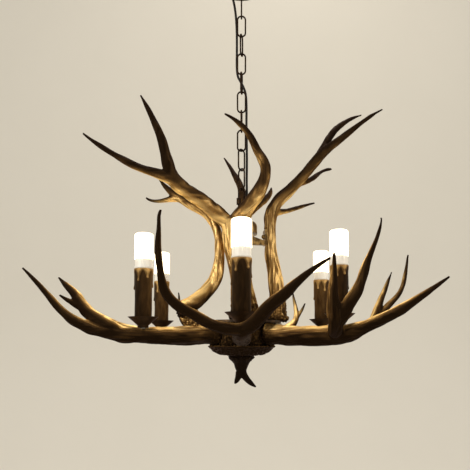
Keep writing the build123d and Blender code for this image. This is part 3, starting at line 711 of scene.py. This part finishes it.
def wax_coat(angle, drop, runs):
    """How thick the wax lies, at an angle round the sleeve and a drop below its rim.  Each run
    ends in a bead, and the apron along the rim sags where a run leaves it."""
    coat = closeness = 0.0
    for turn, half, length in runs:
        off = abs((angle - turn + math.pi) % (2 * math.pi) - math.pi) * sleeve_radius
        closeness = max(closeness, math.exp(-(off / sag_reach) ** 2))
        past = max(0.0, drop - length) / half
        swell = 1 + 0.7 * math.exp(-((drop - length) / bead_length) ** 2)
        body = 1 - (off / (half * (0.8 + 0.3 * swell))) ** 2 - past ** 2
        coat = max(coat, math.sqrt(max(0.0, body)) * wax_thickness * swell)
    foot = apron_depth + apron_sag * closeness
    apron = sum(min(1.0, max(0.0, (foot * share - drop) / edge)) * thickness
                for share, edge, thickness in apron_layers)
    return max(coat, apron)


def lit_by(flames, point, aside):
    """How squarely a point on the sleeve faces the flames, and how near they are."""
    faced = 0.0
    for flame in flames:
        to_flame = flame - point
        faced += (max(0.0, to_flame.dot(aside) / sleeve_radius) / to_flame.length
                  * math.exp(-to_flame.length / sleeve_glow_reach))
    return faced


for number in range(1, 7):
    finished(f"candle_dish_{number}", "light", dish_bronze)
    low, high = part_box(f"candle_sleeve_{number}")
    axis = middle_of(f"candle_dish_{number}")
    deselect()
    bpy.ops.mesh.primitive_cylinder_add(vertices=sleeve_sides, radius=sleeve_radius,
                                        depth=high.z - low.z, end_fill_type="NOTHING",
                                        location=(axis.x, axis.y, (low.z + high.z) / 2))
    sleeve = settle(f"wax_sleeve_{number}")
    bpy.ops.object.mode_set(mode="EDIT")
    bpy.ops.mesh.select_mode(type="EDGE")
    bpy.ops.mesh.select_all(action="DESELECT")
    bpy.ops.object.mode_set(mode="OBJECT")
    for edge in sleeve.data.edges:
        foot, head = (sleeve.data.vertices[v].co.z for v in edge.vertices)
        edge.select = abs(foot - head) > 0.001
    bpy.ops.object.mode_set(mode="EDIT")
    bpy.ops.mesh.subdivide(number_cuts=sleeve_rings)
    bpy.ops.object.mode_set(mode="OBJECT")
    chance = np.random.default_rng(40 + number)
    runs = [(2 * math.pi * (i + chance.uniform(-run_stray, run_stray)) / wax_count,
             chance.uniform(*run_halves),
             chance.uniform(*run_lengths) * (long_run if i % 3 == 0 else 1))
            for i in range(wax_count)]
    sleeve_candlelight = []
    other_flames = [flame for flame in candle_flames if (flame - axis).xy.length > sleeve_radius]
    for vertex in sleeve.data.vertices:
        aside = Vector((vertex.co.x - axis.x, vertex.co.y - axis.y, 0))
        drop = high.z - vertex.co.z
        faced = lit_by(other_flames, vertex.co, aside)
        coat = wax_coat(math.atan2(aside.y, aside.x), drop, runs)
        wave = noise.noise(vertex.co * wave_scale) * wave_height
        vertex.co += aside.normalized() * (coat + wave)
        # Lighter wax ridges near the rim, a lighter rim, and the sides facing the other candles:
        # painted candlelight.
        sleeve_candlelight.append(coat / wax_thickness * 0.62 * math.exp(-drop / candlelight_drop) - 0.1
                    + 0.1 * math.exp(-drop / rim_drop) + 0.7 * faced)
    write_measure(sleeve.data, "wax_and_candlelight", sleeve_candlelight)
    bpy.ops.object.modifier_add(type="SOLIDIFY")
    sleeve.modifiers[-1].thickness = sleeve_wall
    sleeve.modifiers[-1].offset = -1
    bpy.ops.object.modifier_apply(modifier=sleeve.modifiers[-1].name)
    bpy.ops.object.shade_smooth_by_angle(angle=math.radians(soft_angle))
    dress(sleeve, sleeve_bronze)
    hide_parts(f"candle_sleeve_{number}")
    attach(sleeve, "light")


# ---- Bulbs ----
# Lit lamps with a frosted tubular cover over a white plastic collar, screwed down into the
# lampholders.
# The collar's faint warm emission is painted glow from the lit cover above it.
bulb_base_glow, shader, place = new_finish("bulb_base_glow", Roughness=0.3, Emission_Strength=0.18)
warm = place.noise(60.0)
feed(shader, Base_Color=warm.mix((0.80, 0.78, 0.73), (0.88, 0.86, 0.81)),
     Emission_Color=warm.mix((1.0, 0.86, 0.66), (1.0, 0.90, 0.72)))
bulb_glow, shader, place = new_finish("bulb_glow", Roughness=0.4,
                                      Base_Color=(1.0, 0.96, 0.88, 1), Emission_Strength=3.6)
feed(shader, Emission_Color=place.noise(30.0).mix((1.0, 0.78, 0.46), (1.0, 0.82, 0.52)))
for number in range(1, 7):
    finished(f"bulb_{number}_base", f"bulb_{number}", bulb_base_glow)
    finished(f"bulb_{number}_cover", f"bulb_{number}", bulb_glow)


# ---- Finial ----
# The forked end of a small antler, cast in near-black resin and pushed up over the end of the
# column's tube.
dark_resin, shader, place = new_finish("dark_resin", Roughness=0.45, Metallic=0.3, **warm_gloss)
mottle = place.noise(130.0, 4.0)
# The raised tone is the casting's rubbed beads and lumps, with painted candlelight where it faces
# a candle.
raised_and_lit = (place.measured("rubbed_and_candlelit") * 0.6 + mottle).between(0.45, 1.1)
feed(shader, Base_Color=raised_and_lit.mix((0.010, 0.006, 0.004), (0.09, 0.05, 0.02)),
     Normal=bump(mottle, 0.0005))
cast("finial", "light", dark_resin, root=(0, 0, bowl_low.z), growth=down,
     burr=0.016, seed=33, voxel=0.0009)
